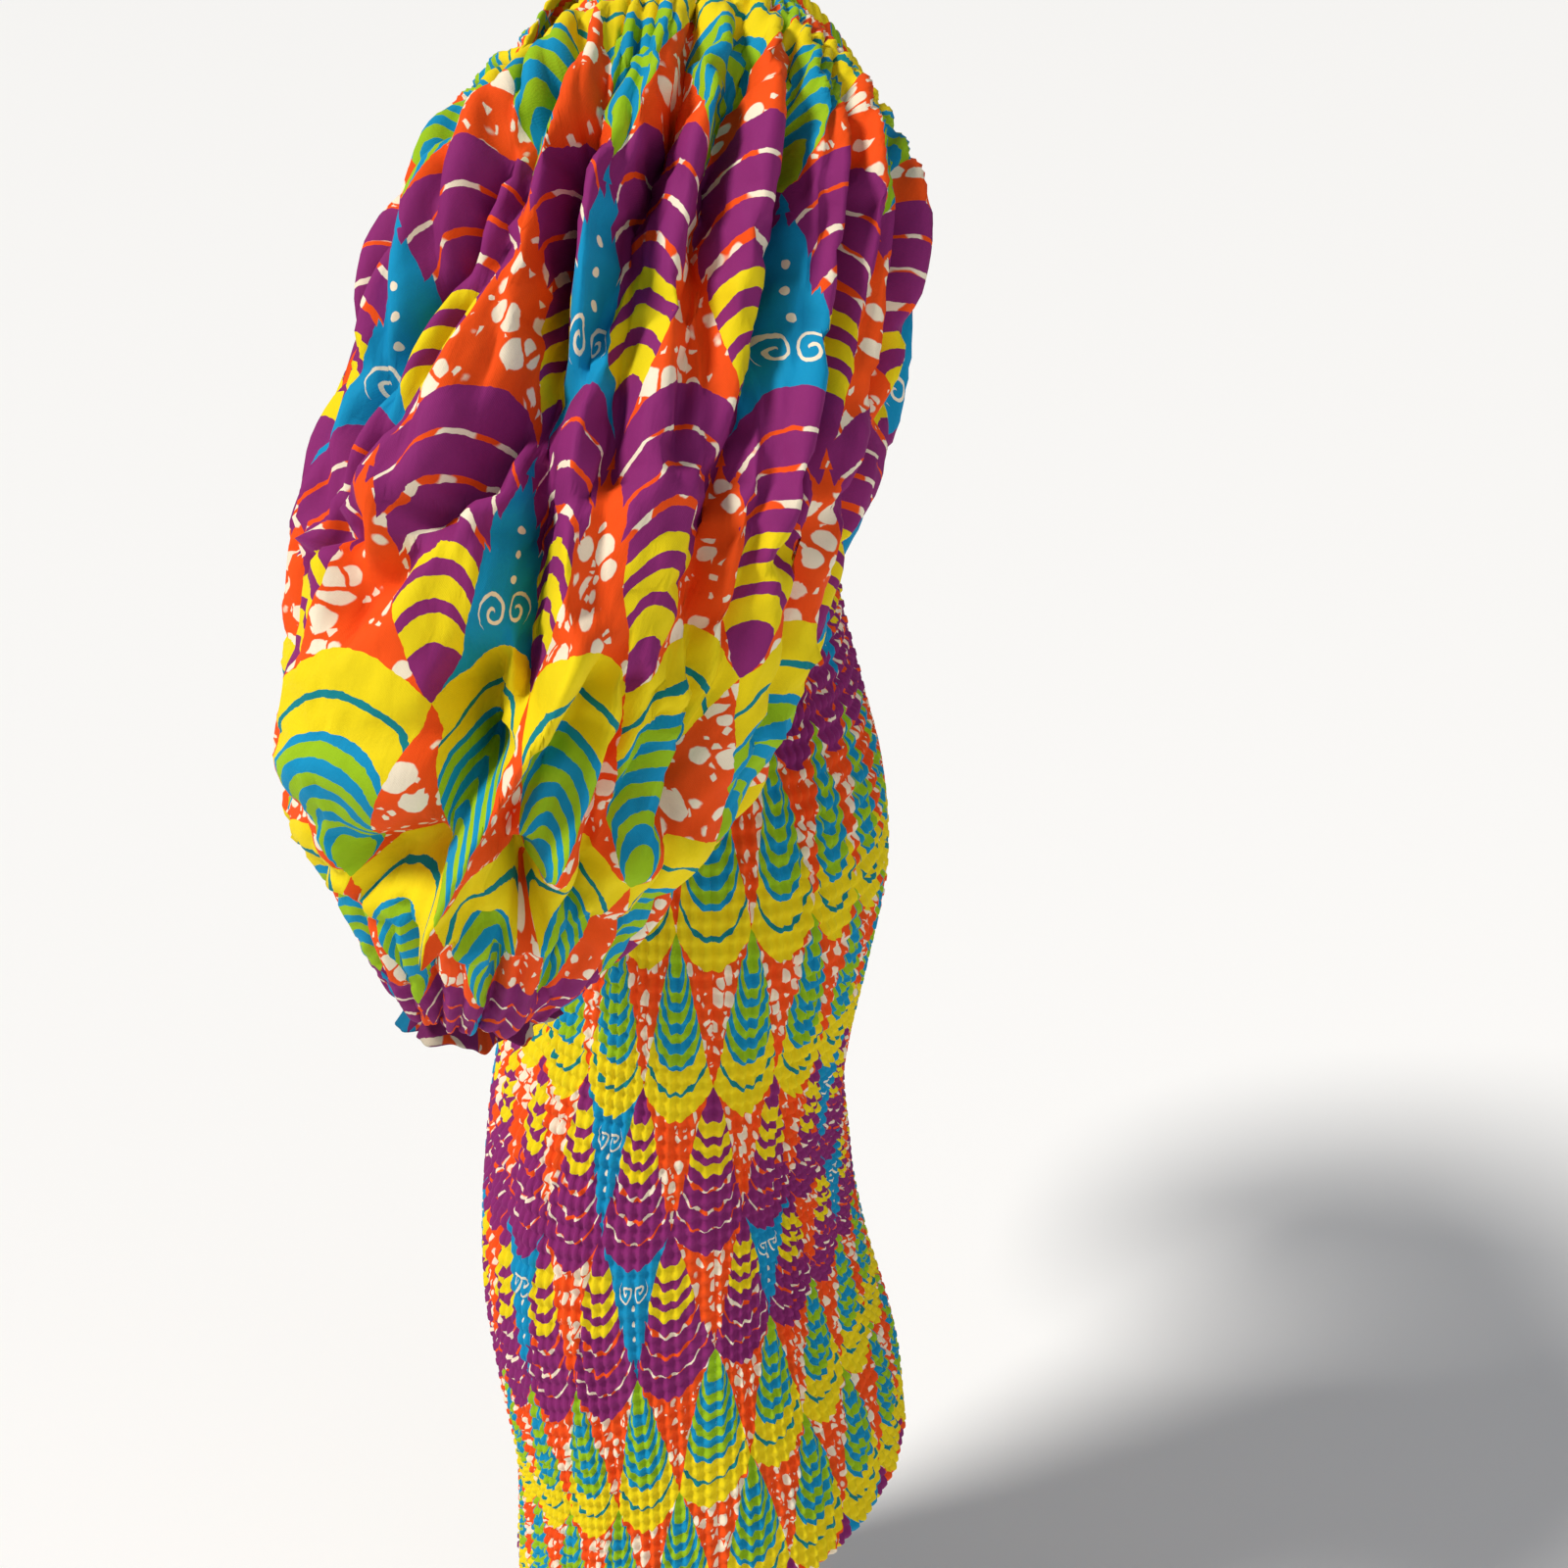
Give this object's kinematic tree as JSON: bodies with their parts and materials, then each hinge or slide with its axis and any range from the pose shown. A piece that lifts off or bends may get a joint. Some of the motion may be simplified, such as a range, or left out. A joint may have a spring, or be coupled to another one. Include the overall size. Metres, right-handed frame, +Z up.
{
  "type": "wax print dress",
  "caption": "Long shirred tube dress with a scooped elastic neckline and full balloon sleeves gathered into narrow frilled cuffs, kept in its hollow worn form.",
  "frame": {"origin": "middle of the neck opening, between the shoulders, where a wearer or a dress form holds the dress", "axes": "+Z up towards the neckline, -Y the front of the dress, +X the wearer's left sleeve"},
  "size_m": [0.8598, 0.3882, 1.212],
  "materials": {
    "shirred_print": "matt printed cotton, shirred",
    "sleeve_print": "matt printed cotton",
    "casing_print": "matt printed cotton, gathered",
    "cuff_print": "matt printed cotton, gathered"
  },
  "bodies": {
    "root": {"body_front": "shirred_print", "body_back": "shirred_print", "sleeve_left": "sleeve_print", "sleeve_right": "sleeve_print", "neckline_casing": "casing_print", "cuff_left": "cuff_print", "cuff_right": "cuff_print"}
  },
  "joints": []
}
